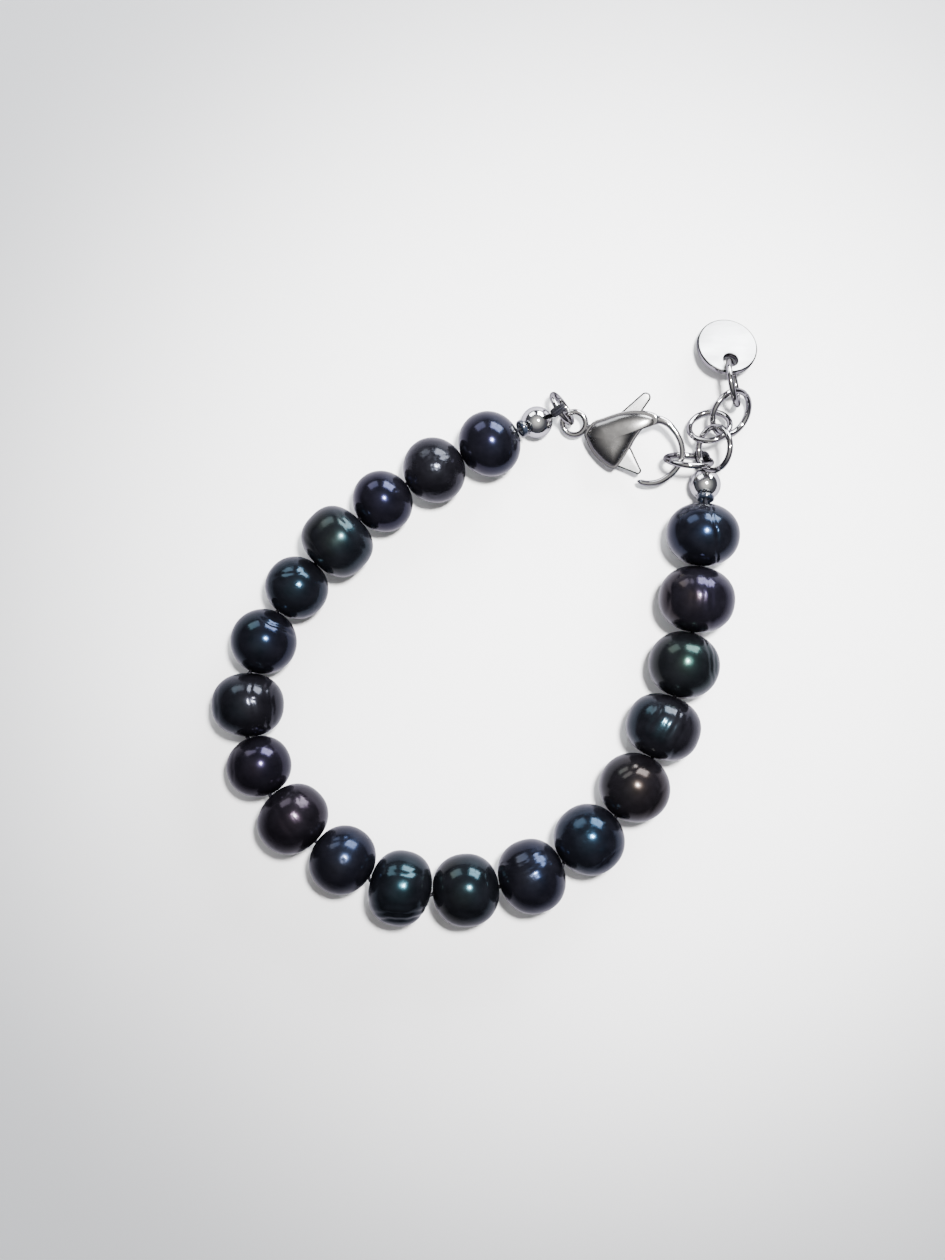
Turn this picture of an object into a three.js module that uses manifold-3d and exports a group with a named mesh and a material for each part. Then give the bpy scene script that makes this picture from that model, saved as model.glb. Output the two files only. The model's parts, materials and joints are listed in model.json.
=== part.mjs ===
// A bracelet of dark drilled pearls on a thread, lying in a loop on a flat surface.
// A lobster clasp at one end is hooked into a chain of jump rings that ends in a round tag.
// Millimetres, +Z up, the surface at z = 0. Every bead, ring and clasp piece is its own solid.

import * as THREE from 'three';
import Module from 'manifold-3d';
import { mergeVertices } from 'three/addons/utils/BufferGeometryUtils.js';

const wasm = await Module();
wasm.setup();

// Pearls
const pearlLength = 7.87;      // nominal, along the thread
const pearlWidth = 8.8;       // nominal, across the thread
const pearlBore = 0.7;        // radius of the drilled hole
const beadGap = 0.21;         // between two neighbours on the thread
const beadSides = 16;
const beadArcSteps = 8;

// Small beads at the two ends of the string
const silverRadius = 2.0;
const silverBore = 0.75;
const spacerRadius = 1.1;
const spacerLength = 0.7;
const spacerBore = 0.55;
const spacerNest = 0.55;     // from a spacer's face to the mouth of the pearl beside it
const steepest = 0.9;         // sine of the steepest drop of the thread

// Thread
const threadRadius = 0.16;
const threadSides = 6;
const loopSteps = 24;
const loopClearance = 0.22;   // between a thread loop and the wire in it
const loopNeck = 0.3;         // half width of a loop beside its bead
const loopLead = 0.4;         // from a bead's mouth to where the thread parts into the loop

// Jump rings
const wireDiameter = 0.75;
const linkDiameter = 6.4;     // outside, nominal, of the rings in the end chain
const claspRingDiameter = 5.0;
const seamGap = 0.15;         // where the two ends of a ring's wire meet
const ringSteps = 16;
const ringSides = 3;

// Lobster clasp, in its own frame: u from the eye to the hook, v across, w up
const claspLength = 14.6;     // from the centre of the eye to the far side of the hook
const claspBodyWidth = 8.2;
const backPlateHeight = 0.6;
const slotHeight = 1.2;
const domeHeight = 1.15;
const eyeRadius = 1.45;       // to the middle of the eye's rim
const eyeWire = 0.36;
const neckLength = 1.1;       // from the eye's rim into the body
const neckWidth = 1.1;
const hookWidth = 0.74;
const hookHeight = 0.9;
const hookSides = 8;
const triggerHeight = 0.7;
const triggerClearance = 0.22;
const pinRadius = 0.35;
const pinClearance = 0.12;
const hubRadius = 1.5;
const leverReach = 8.0;       // from the pivot to the tip of the thumb lever
const leverRootWidth = 2.1;
const leverTipWidth = 1.3;
const gateRootWidth = 2.9;
const gateTipWidth = 0.9;
const leverAngle = 70;        // degrees from the u axis
const gateAngle = -21;
const gateTravel = 25;
const claspHeading = -23;
const claspPitch = 6.5;       // hook end up
const claspRoll = 12;         // lever side up

// Tag
const tagDiameter = 7.7;
const tagThickness = 0.85;
const tagEdge = 0.15;         // rounding of its edges
const tagHoleRadius = 0.9;
const tagHoleWall = 0.85;     // between the hole and the rim
const tagHoleTurn = 204;      // where the hole is, from the low edge's heading
const tagTilt = 24;
const tagLean = 72;           // heading towards which its face leans

// Each pearl in order from the clasp end: length and width as shares of the nominal pearl,
// and how square its outline is, where 2 is an ellipse
const pearls = [
  { length: 0.96, width: 0.94, square: 2.0 },
  { length: 0.95, width: 0.94, square: 2.0 },
  { length: 0.91, width: 0.89, square: 2.0 },
  { length: 0.96, width: 1.02, square: 2.5 },
  { length: 0.94, width: 0.90, square: 2.1 },
  { length: 1.02, width: 0.94, square: 2.0 },
  { length: 1.00, width: 1.02, square: 2.2 },
  { length: 0.95, width: 0.92, square: 2.1 },
  { length: 1.00, width: 1.04, square: 2.2 },
  { length: 1.00, width: 0.99, square: 2.1 },
  { length: 0.98, width: 1.07, square: 2.3 },
  { length: 1.05, width: 1.03, square: 2.2 },
  { length: 1.04, width: 1.06, square: 2.2 },
  { length: 1.08, width: 1.02, square: 2.1 },
  { length: 1.07, width: 1.02, square: 2.0 },
  { length: 1.00, width: 1.06, square: 2.3 },
  { length: 1.03, width: 1.01, square: 2.1 },
  { length: 1.03, width: 1.08, square: 2.2 },
  { length: 1.00, width: 1.04, square: 2.1 },
];

// Where the string and the end chain lie, chosen by hand, in millimetres from the middle of the view.
// The string's points are the middles of the end beads and of every second or third pearl.
// A ring's seam is where round it the two ends of its wire meet, in degrees.
const route = {
  string: [
    [8.1, 26.2], [2.8, 23.6], [-10.7, 16.5], [-21.5, 5.9], [-25.9, -1.0], [-28.0, -9.0],
    [-26.7, -16.9], [-22.4, -23.5], [-9.1, -32.1], [7.6, -30.6], [14.7, -26.0], [20.5, -19.2],
    [26.5, -4.0], [28.0, 4.2], [28.8, 12.5], [29.3, 18.32],
  ],
  clasp: { eye: [12.85, 26.1] },
  claspRing: { size: 1, at: [11.25, 27.85, 2.4], heading: -58, tilt: 108.5, seam: 0 },
  chain: [
    { size: 1.02, at: [27.1, 21.27, 3.25], heading: -4, tilt: 108, seam: 0 },
    { size: 0.99, at: [30.15, 22.65, 4.55], heading: 88, tilt: 128, seam: 155 },
    { size: 0.93, at: [29.8, 25.6, 2.6], heading: 18, tilt: 138, seam: 160 },
    { size: 1.05, at: [32.5, 27.3, 2.5], heading: 52, tilt: 44, seam: 0 },
    { size: 1.00, at: [32.7, 31.0, 3.2], heading: -80, tilt: 104, seam: 0 },
  ],
};

const steel = { color: 0xc9cacb, roughness: 0.16, metalness: 1 };
const satinSteel = { color: 0xa4a3a2, roughness: 0.32, metalness: 1 };
const blackGloss = { color: 0x0b0c10, roughness: 0.12, metalness: 0 };
const blackThread = { color: 0x111216, roughness: 0.6, metalness: 0 };
const pearlSkin = { color: 0x1c2130, roughness: 0.14, metalness: 0.35 };

const rad = THREE.MathUtils.degToRad;

function named(name, geometry, look) {
  const mesh = new THREE.Mesh(geometry, new THREE.MeshStandardMaterial(look));
  mesh.name = name;
  return mesh;
}

function toSolid(geometry) {
  const bare = geometry.clone();
  bare.deleteAttribute('normal');
  bare.deleteAttribute('uv');
  const merged = mergeVertices(bare, 1e-4);
  return new wasm.Manifold(new wasm.Mesh({
    numProp: 3,
    vertProperties: new Float32Array(merged.attributes.position.array),
    triVerts: new Uint32Array(merged.index.array),
  }));
}

function toGeometry(solid) {
  const mesh = solid.getMesh();
  const geometry = new THREE.BufferGeometry();
  geometry.setAttribute('position', new THREE.BufferAttribute(mesh.vertProperties, 3));
  geometry.setIndex(new THREE.BufferAttribute(mesh.triVerts, 1));
  geometry.computeVertexNormals();
  return geometry;
}

// A closed skin over rings of points that all have the same count, with a flat fan at each end
function skin(rings) {
  const count = rings[0].length;
  const points = rings.flat();
  const faces = [];
  for (let r = 0; r + 1 < rings.length; r += 1) {
    for (let i = 0; i < count; i += 1) {
      const a = r * count + i;
      const b = r * count + (i + 1) % count;
      faces.push(a, b, b + count, a, b + count, a + count);
    }
  }
  for (const [ring, first, flip] of [[rings[0], 0, true], [rings.at(-1), (rings.length - 1) * count, false]]) {
    const middle = ring.reduce((sum, p) => sum.add(p), new THREE.Vector3()).divideScalar(count);
    points.push(middle);
    for (let i = 0; i < count; i += 1) {
      const a = first + i;
      const b = first + (i + 1) % count;
      faces.push(...(flip ? [b, a, points.length - 1] : [a, b, points.length - 1]));
    }
  }
  const geometry = new THREE.BufferGeometry().setFromPoints(points);
  geometry.setIndex(faces);
  return geometry;
}

// A closed rod along a line of points, each with its own width and height
function rod(stations, sides) {
  return skin(stations.map(({ point, wide, high }, i) => {
    const before = stations[Math.max(i - 1, 0)].point;
    const after = stations[Math.min(i + 1, stations.length - 1)].point;
    const along = after.clone().sub(before).normalize();
    const left = new THREE.Vector3(-along.y, along.x, 0).normalize();
    const up = new THREE.Vector3().crossVectors(along, left);
    return Array.from({ length: sides }, (_, k) => {
      const turn = (k + 0.5) / sides * 2 * Math.PI;
      return point.clone().addScaledVector(left, Math.cos(turn) * wide / 2)
        .addScaledVector(up, Math.sin(turn) * high / 2);
    });
  }));
}

function extruded(shape, low, high, curveSegments = 8) {
  const geometry = new THREE.ExtrudeGeometry(shape, { depth: high - low, bevelEnabled: false, curveSegments });
  return geometry.translate(0, 0, low);
}

function wireSection(radius) {
  return new THREE.Shape().absarc(0, 0, radius, 0, 2 * Math.PI);
}

// A drilled bead, its thread axis along X and a corner of its outline straight down
function beadGeometry(length, width, square, bore) {
  const power = 2 / square;
  const start = Math.asin((2 * bore / width) ** (1 / power));
  const profile = [];
  for (let i = 0; i <= beadArcSteps; i += 1) {
    const turn = THREE.MathUtils.lerp(start, Math.PI - start, i / beadArcSteps);
    const along = -Math.sign(Math.cos(turn)) * Math.abs(Math.cos(turn)) ** power;
    profile.push(new THREE.Vector2(Math.sin(turn) ** power * width / 2, along * length / 2));
  }
  profile.push(profile[0].clone());
  return new THREE.LatheGeometry(profile, beadSides).rotateZ(-Math.PI / 2);
}

// A small ring-shaped bead, its thread axis along X
function spacerGeometry() {
  const outline = [];
  const middle = (spacerRadius + spacerBore) / 2;
  const half = (spacerRadius - spacerBore) / 2;
  for (let i = 0; i <= 8; i += 1) {
    const turn = i / 8 * 2 * Math.PI;
    outline.push(new THREE.Vector2(middle + half * Math.cos(turn), spacerLength / 2 * Math.sin(turn)));
  }
  return new THREE.LatheGeometry(outline, beadSides).rotateZ(-Math.PI / 2);
}

class RingArc extends THREE.Curve {
  constructor(radius, gap) {
    super();
    this.radius = radius;
    this.sweep = 2 * Math.PI - gap / radius;
  }
  getPoint(t) {
    const turn = (2 * Math.PI - this.sweep) / 2 + t * this.sweep;
    return new THREE.Vector3(Math.cos(turn) * this.radius, Math.sin(turn) * this.radius, 0);
  }
}

// How a ring lies: heading turns it about Z, tilt then lifts its plane from the surface
function ringMatrix(pose) {
  const turn = new THREE.Matrix4().makeRotationZ(rad(pose.heading));
  const lift = new THREE.Matrix4().makeRotationX(rad(pose.tilt));
  return turn.multiply(lift).setPosition(...pose.at);
}

function jumpRing(name, pose, outside) {
  const path = new RingArc((pose.size * outside - wireDiameter) / 2, seamGap);
  const geometry = new THREE.ExtrudeGeometry(wireSection(wireDiameter / 2), {
    steps: ringSteps, curveSegments: ringSides, extrudePath: path, bevelEnabled: false,
  });
  const mesh = named(name, geometry.rotateZ(rad(pose.seam)), steel);
  mesh.applyMatrix4(ringMatrix(pose));
  return mesh;
}

// The point of a ring's wire at an angle round it, and the direction of the wire there
function onRing(pose, outside, degrees) {
  const radius = (pose.size * outside - wireDiameter) / 2;
  const matrix = ringMatrix(pose);
  const turn = rad(degrees);
  return {
    point: new THREE.Vector3(Math.cos(turn), Math.sin(turn), 0).multiplyScalar(radius).applyMatrix4(matrix),
    along: new THREE.Vector3(-Math.sin(turn), Math.cos(turn), 0).transformDirection(matrix),
  };
}

// The string between its two fixed ends: its loop stretches out from them until the beads fill it
function stringCurve(length) {
  const points = route.string.map(([x, y]) => new THREE.Vector3(x, y, 0));
  const chord = new THREE.Line3(points[0], points.at(-1));
  const out = points.map((p) => p.clone().sub(chord.closestPointToPoint(p, false, new THREE.Vector3())));
  const stretched = (by) => new THREE.CatmullRomCurve3(
    points.map((p, i) => p.clone().addScaledVector(out[i], by - 1)),
  );
  let [low, high] = [0.3, 3];
  for (let i = 0; i < 30; i += 1) {
    const by = (low + high) / 2;
    if (stretched(by).getLength() < length) low = by;
    else high = by;
  }
  return stretched(low);
}

// Beads in order along the string. The end beads rest on the surface too, so the thread drops
// to them from the middle of the last pearl's end, with the spacer between the two.
function layBeads() {
  const half = (pearl) => pearl.length * pearlLength / 2;
  const height = (pearl) => pearl.width * pearlWidth / 2;
  const toSpacer = spacerLength / 2 + spacerNest;
  const toSilver = Math.sqrt((silverRadius + spacerLength / 2) ** 2 - ((spacerRadius + spacerBore) / 2) ** 2);
  const reach = toSpacer + toSilver + spacerNest * 0.8;
  const drop = (pearl) => Math.min((height(pearl) - silverRadius) / reach, steepest);
  const flat = (pearl) => half(pearl) + reach * Math.sqrt(1 - drop(pearl) ** 2);

  const ends = flat(pearls[0]) + flat(pearls.at(-1)) - half(pearls[0]) - half(pearls.at(-1));
  const length = pearls.reduce((sum, pearl) => sum + 2 * half(pearl) + beadGap, ends - beadGap);
  const curve = stringCurve(length);
  const at = (distance) => curve.getPointAt(distance / length);
  const heading = (distance) => curve.getTangentAt(distance / length);
  let distance = flat(pearls[0]);
  const laid = pearls.map((pearl, i) => {
    if (i > 0) distance += half(pearls[i - 1]) + half(pearl) + beadGap;
    return { pearl, middle: at(distance).setZ(height(pearl)), along: heading(distance), half: half(pearl) };
  });
  const end = ({ pearl, middle, along }, sign) => {
    const away = along.clone().multiplyScalar(sign);
    const start = middle.clone().addScaledVector(away, half(pearl));
    const slope = away.clone().multiplyScalar(Math.sqrt(1 - drop(pearl) ** 2)).setZ(-drop(pearl));
    const silver = start.clone().addScaledVector(slope, reach);
    const mouth = silver.clone().addScaledVector(slope, silverRadius);
    return {
      away, slope, silver, mouth,
      spacer: start.clone().addScaledVector(slope, toSpacer),
      spacerAxis: slope.clone().add(away).normalize(),
      parting: mouth.clone().addScaledVector(away, loopLead),
    };
  };
  return { laid, claspEnd: end(laid[0], -1), chainEnd: end(laid.at(-1), 1) };
}

// Turns a piece made along X to a direction
function aim(mesh, direction) {
  const across = Math.hypot(direction.x, direction.y);
  mesh.rotation.set(0, -Math.atan2(direction.z, across), Math.atan2(direction.y, direction.x), 'ZYX');
}

function placed(mesh, point, direction) {
  mesh.position.copy(point);
  aim(mesh, direction);
  return mesh;
}

// A closed loop of thread from a bead's mouth round a ring's wire, bowed away from the bead
function threadLoop({ away, parting }, wire) {
  const out = wire.point.clone().sub(parting).normalize();
  const side = new THREE.Vector3().crossVectors(wire.along, out).normalize();
  const reach = wireDiameter / 2 + threadRadius + loopClearance;
  const neck = new THREE.Vector3().lerpVectors(parting, wire.point, 0.4).addScaledVector(away, loopNeck);
  const points = [
    parting,
    neck.clone().addScaledVector(side, loopNeck),
    wire.point.clone().addScaledVector(side, reach),
    wire.point.clone().addScaledVector(out, reach),
    wire.point.clone().addScaledVector(side, -reach),
    neck.clone().addScaledVector(side, -loopNeck),
  ];
  const curve = new THREE.CatmullRomCurve3(points, true, 'centripetal');
  return toSolid(new THREE.TubeGeometry(curve, loopSteps, threadRadius, threadSides, true));
}

// One thread through every bead, straight in each bore, with a loop past each end bead
function threadGeometry(beads, claspWire, chainWire) {
  const mouths = beads.laid.flatMap(({ middle, along, half }) => [
    middle.clone().addScaledVector(along, -half), middle.clone().addScaledVector(along, half),
  ]);
  const { claspEnd, chainEnd } = beads;
  const line = [claspEnd.parting, claspEnd.mouth, ...mouths, chainEnd.mouth, chainEnd.parting];
  const width = 2 * threadRadius;
  const strand = rod(line.map((point) => ({ point, wide: width, high: width })), threadSides);
  const whole = toSolid(strand)
    .add(threadLoop(claspEnd, claspWire))
    .add(threadLoop(chainEnd, chainWire));
  return toGeometry(whole);
}

// Outline of the clasp body seen from above, as shares of the clasp's length and the body's width
const bodyOutline = [
  [0.115, -0.07], [0.145, -0.16], [0.225, -0.29], [0.345, -0.395], [0.445, -0.43], [0.490, -0.37],
  [0.525, -0.10], [0.540, 0.13], [0.570, 0.32], [0.625, 0.40], [0.670, 0.50], [0.640, 0.59],
  [0.560, 0.595], [0.455, 0.545], [0.340, 0.435], [0.215, 0.25], [0.145, 0.13],
];
// The dome narrows towards its top: height and size as shares of the dome's own
const domeLevels = [
  { up: 0, size: 0.96 }, { up: 0.3, size: 0.93 }, { up: 0.58, size: 0.83 },
  { up: 0.8, size: 0.66 }, { up: 0.94, size: 0.42 }, { up: 1, size: 0.18 },
];
const domeMiddle = [0.385, 0.10];
// The hook's middle line: place as shares of length and width, and width as a share of the wire's
const hookLine = [
  { at: [0.575, 0.45], wide: 1.7 }, { at: [0.625, 0.495], wide: 1.55 }, { at: [0.675, 0.54], wide: 1.4 },
  { at: [0.745, 0.535], wide: 1.2 }, { at: [0.805, 0.49], wide: 1.1 }, { at: [0.870, 0.415], wide: 1 },
  { at: [0.925, 0.315], wide: 1 }, { at: [0.963, 0.195], wide: 1 }, { at: [0.974, 0.06], wide: 1 },
  { at: [0.960, -0.08], wide: 1 }, { at: [0.920, -0.225], wide: 1 }, { at: [0.865, -0.345], wide: 1 },
  { at: [0.790, -0.425], wide: 1 }, { at: [0.730, -0.45], wide: 0.95 }, { at: [0.690, -0.455], wide: 0.8 },
];
const pivot = new THREE.Vector2(0.315 * claspLength, -0.07 * claspBodyWidth);
const slotLow = -(backPlateHeight + slotHeight + domeHeight) / 2 + backPlateHeight;
const slotHigh = slotLow + slotHeight;
const bodyLow = slotLow - backPlateHeight;
const hookMiddle = (slotLow + slotHigh) / 2;
const pinLow = bodyLow + 0.05;
const pinHigh = slotHigh + domeHeight * 0.4;

function claspPoint([along, across]) {
  return new THREE.Vector2(along * claspLength, across * claspBodyWidth);
}

function bodyShape() {
  const curve = new THREE.SplineCurve([...bodyOutline, bodyOutline[0]].map(claspPoint));
  return curve.getPoints(2 * bodyOutline.length).slice(0, -1);
}

function domeGeometry() {
  const middle = claspPoint(domeMiddle);
  const base = bodyShape();
  return skin(domeLevels.map(({ up, size }) => base.map((point) => {
    const flat = point.clone().sub(middle).multiplyScalar(size).add(middle);
    return new THREE.Vector3(flat.x, flat.y, slotHigh - slotHeight * (up === 0 ? 1 : 0) + domeHeight * up);
  })));
}

function hookGeometry() {
  return rod(hookLine.map(({ at, wide }) => {
    const { x, y } = claspPoint(at);
    const point = new THREE.Vector3(x, y, hookMiddle);
    return { point, wide: wide * hookWidth, high: Math.min(wide, 1) * hookHeight };
  }), hookSides);
}

// The area that an arm from the pivot covers as it swings from one angle to another
function armShape(from, to, rootWidth, tipWidth, reach) {
  const corner = (angle, along, side) => new THREE.Vector2(
    pivot.x + Math.cos(rad(angle)) * along - Math.sin(rad(angle)) * side,
    pivot.y + Math.sin(rad(angle)) * along + Math.cos(rad(angle)) * side,
  );
  const points = [corner(from, 0, -rootWidth / 2), corner(from, reach * 0.5, -rootWidth / 2)];
  const tip = tipWidth / 2;
  const steps = 4;
  for (let i = 0; i <= steps; i += 1) {
    const turn = -90 + 90 * i / steps;
    points.push(corner(from, reach - tip + Math.cos(rad(turn)) * tip, Math.sin(rad(turn)) * tip));
  }
  for (let i = 1; i <= steps; i += 1) {
    if (to > from) points.push(corner(from + (to - from) * i / steps, reach, 0));
  }
  for (let i = 1; i <= steps; i += 1) {
    const turn = 90 * i / steps;
    points.push(corner(to, reach - tip + Math.cos(rad(turn)) * tip, Math.sin(rad(turn)) * tip));
  }
  points.push(corner(to, reach * 0.5, rootWidth / 2), corner(to, 0, rootWidth / 2));
  return new THREE.Shape(points);
}

function discShape(radius) {
  return new THREE.Shape().absarc(pivot.x, pivot.y, radius, 0, 2 * Math.PI);
}

function triggerSolid(extra, swing, low, high) {
  const wide = 2 * extra;
  const lever = armShape(leverAngle, leverAngle + swing, leverRootWidth + wide,
    leverTipWidth + wide, leverReach + extra);
  const gateReach = Math.hypot(0.69 * claspLength - pivot.x, -0.33 * claspBodyWidth - pivot.y);
  const gate = armShape(gateAngle, gateAngle + swing, gateRootWidth + wide, gateTipWidth + wide,
    gateReach + extra);
  return toSolid(extruded(discShape(hubRadius + extra), low, high))
    .add(toSolid(extruded(lever, low, high)))
    .add(toSolid(extruded(gate, low, high)));
}

function claspBodySolid() {
  const plate = toSolid(extruded(new THREE.Shape(bodyShape()), bodyLow, slotLow + 0.02));
  const eye = new THREE.TorusGeometry(eyeRadius, eyeWire, 6, 16);
  const neck = new THREE.BoxGeometry(neckLength, neckWidth, 2 * eyeWire);
  neck.translate(eyeRadius + neckLength / 2, 0, 0);
  const slot = triggerSolid(triggerClearance, gateTravel, slotLow, slotHigh);
  const bore = toSolid(extruded(discShape(pinRadius + pinClearance), bodyLow - 1, pinHigh + pinClearance));
  return plate.add(toSolid(domeGeometry())).subtract(slot).subtract(bore)
    .add(toSolid(hookGeometry())).add(toSolid(eye)).add(toSolid(neck));
}

function claspGroup() {
  const group = new THREE.Group();
  const low = hookMiddle - triggerHeight / 2;
  const trigger = triggerSolid(0, 0, low, low + triggerHeight)
    .subtract(toSolid(extruded(discShape(pinRadius + pinClearance), low - 1, low + triggerHeight + 1)));
  group.add(named('clasp_body', toGeometry(claspBodySolid()), satinSteel));
  group.add(named('clasp_trigger', toGeometry(trigger), steel));
  group.add(named('clasp_pin', extruded(discShape(pinRadius), pinLow, pinHigh), steel));
  group.rotation.set(rad(claspRoll), rad(-claspPitch), rad(claspHeading), 'ZYX');
  group.position.set(...route.clasp.eye, 0);
  group.updateMatrixWorld(true);
  group.position.z = -new THREE.Box3().setFromObject(group, true).min.z;
  return group;
}

// The tag lies on its far edge, with the wire of the last ring through the middle of its hole
function tagMesh(ring) {
  const disc = new THREE.Shape().absarc(0, 0, tagDiameter / 2 - tagEdge, 0, 2 * Math.PI);
  const holeFromMiddle = tagDiameter / 2 - tagHoleWall - tagHoleRadius;
  const holeMiddle = new THREE.Vector2(holeFromMiddle, 0).rotateAround(new THREE.Vector2(), rad(tagHoleTurn));
  const hole = new THREE.Path();
  hole.absarc(holeMiddle.x, holeMiddle.y, tagHoleRadius + tagEdge, 0, 2 * Math.PI);
  disc.holes.push(hole);
  const geometry = new THREE.ExtrudeGeometry(disc, {
    depth: tagThickness - 2 * tagEdge, curveSegments: 12,
    bevelThickness: tagEdge, bevelSize: tagEdge, bevelSegments: 1,
  });
  geometry.translate(-holeMiddle.x, -holeMiddle.y, tagEdge - tagThickness / 2);
  const mesh = named('tag', geometry, steel);
  mesh.rotation.set(0, rad(tagTilt), rad(tagLean), 'ZYX');
  mesh.updateMatrixWorld(true);
  const holeHeight = -new THREE.Box3().setFromObject(mesh, true).min.z;
  const radius = (ring.size * linkDiameter - wireDiameter) / 2;
  const rise = Math.asin((holeHeight - ring.at[2]) / (radius * Math.sin(rad(ring.tilt))));
  mesh.position.copy(onRing(ring, linkDiameter, 180 - THREE.MathUtils.radToDeg(rise)).point);
  return mesh;
}

function bracelet() {
  const group = new THREE.Group();
  const beads = layBeads();
  beads.laid.forEach(({ pearl, middle, along }, i) => {
    const long = pearl.length * pearlLength;
    const geometry = beadGeometry(long, pearl.width * pearlWidth, pearl.square, pearlBore);
    const name = `pearl_${String(i + 1).padStart(2, '0')}`;
    group.add(placed(named(name, geometry, pearlSkin), middle, along));
  });
  for (const [side, end] of [['clasp', beads.claspEnd], ['chain', beads.chainEnd]]) {
    const silver = beadGeometry(2 * silverRadius, 2 * silverRadius, 2, silverBore);
    group.add(placed(named(`silver_bead_${side}`, silver, steel), end.silver, end.slope));
    group.add(placed(named(`spacer_bead_${side}`, spacerGeometry(), blackGloss), end.spacer, end.spacerAxis));
  }
  group.add(jumpRing('clasp_ring', route.claspRing, claspRingDiameter));
  route.chain.forEach((pose, i) => group.add(jumpRing(`chain_ring_${i + 1}`, pose, linkDiameter)));
  const claspWire = onRing(route.claspRing, claspRingDiameter, 88);
  const chainWire = onRing(route.chain[0], linkDiameter, -49);
  group.add(named('thread', threadGeometry(beads, claspWire, chainWire), blackThread));
  group.add(claspGroup());
  group.add(tagMesh(route.chain.at(-1)));
  return group;
}

// The origin is under the middle of the whole bracelet's box, on the surface
const laidOut = bracelet();
laidOut.updateMatrixWorld(true);
const box = new THREE.Box3().setFromObject(laidOut, true);
laidOut.position.set(-(box.min.x + box.max.x) / 2, -(box.min.y + box.max.y) / 2, -box.min.z);

export default laidOut;
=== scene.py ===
import json
import math
import bmesh
import bpy
import numpy as np
from mathutils import Euler, Matrix, Vector


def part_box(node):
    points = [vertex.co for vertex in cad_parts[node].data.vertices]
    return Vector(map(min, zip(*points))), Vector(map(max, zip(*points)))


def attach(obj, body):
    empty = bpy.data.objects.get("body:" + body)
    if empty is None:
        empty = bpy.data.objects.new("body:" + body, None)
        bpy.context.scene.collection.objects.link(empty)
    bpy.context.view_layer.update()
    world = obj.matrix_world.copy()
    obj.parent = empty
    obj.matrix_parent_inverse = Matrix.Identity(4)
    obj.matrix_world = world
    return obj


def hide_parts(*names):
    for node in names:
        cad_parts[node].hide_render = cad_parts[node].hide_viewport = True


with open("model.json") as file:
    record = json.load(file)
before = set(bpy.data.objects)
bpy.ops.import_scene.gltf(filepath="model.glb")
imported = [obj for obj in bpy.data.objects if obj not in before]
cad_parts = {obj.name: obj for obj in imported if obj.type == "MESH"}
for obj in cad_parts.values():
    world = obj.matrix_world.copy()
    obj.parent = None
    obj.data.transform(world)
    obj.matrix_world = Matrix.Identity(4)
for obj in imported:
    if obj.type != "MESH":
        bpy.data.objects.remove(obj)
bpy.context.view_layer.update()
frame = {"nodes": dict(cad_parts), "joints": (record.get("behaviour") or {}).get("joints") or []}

MM = 0.001
rad = math.radians

# Where the first ring of the end chain lies from the middle of the view, in mm
RING_IN_VIEW = np.array((27.1, 21.27))


# meshes

def vertices(node):
    """The distinct corner points of a CAD node."""
    obj = frame["nodes"][node]
    co = np.empty(len(obj.data.vertices) * 3)
    obj.data.vertices.foreach_get("co", co)
    return np.unique(np.round(co.reshape(-1, 3), 7), axis=0)


def object_from(name, points, faces, material, nodes, body="bracelet"):
    """A smooth piece that rides on a body, stands for CAD nodes and takes its finish from a slot."""
    mesh = bpy.data.meshes.new(name)
    mesh.from_pydata([tuple(p) for p in points], [], faces)
    mesh.validate()
    mesh.update()
    for polygon in mesh.polygons:
        polygon.use_smooth = True
    mesh.materials.append(material)
    obj = bpy.data.objects.new(name, mesh)
    bpy.context.scene.collection.objects.link(obj)
    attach(obj, body)
    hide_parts(*nodes)
    return obj


def outward_faces(mesh, crease=None):
    """Turn a mesh's faces outwards, and keep its edges sharper than crease degrees hard."""
    made = bmesh.new()
    made.from_mesh(mesh)
    bmesh.ops.recalc_face_normals(made, faces=made.faces)
    for edge in made.edges:
        if crease and len(edge.link_faces) == 2 and edge.calc_face_angle(0) > rad(crease):
            edge.smooth = False
    made.to_mesh(mesh)
    made.free()


def grid_faces(rows, columns, wrap_rows=True):
    """Faces between rows of points, each row a closed ring of columns points."""
    faces = []
    for r in range(rows if wrap_rows else rows - 1):
        for c in range(columns):
            a, b = r * columns + c, r * columns + (c + 1) % columns
            d, e = ((r + 1) % rows) * columns + c, ((r + 1) % rows) * columns + (c + 1) % columns
            faces.append((a, b, e, d))
    return faces


def basis(axis):
    """Two directions across an axis: one level, one as far up as it goes."""
    axis = np.asarray(axis, float)
    level = np.cross([0, 0, 1.0], axis)
    level /= np.linalg.norm(level)
    return level, np.cross(axis, level)


def circle(axis, count):
    """Unit directions all round an axis."""
    level, lift = basis(axis)
    turns = np.linspace(0, 2 * math.pi, count, endpoint=False)
    return np.outer(np.cos(turns), level) + np.outer(np.sin(turns), lift)


def signed_power(value, power):
    return math.copysign(abs(value) ** power, value)


def directions(line, closed):
    """Unit directions along a line at each of its points."""
    along = np.roll(line, -1, 0) - np.roll(line, 1, 0) if closed else np.gradient(line, axis=0)
    return along / np.linalg.norm(along, axis=1)[:, None]


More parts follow.
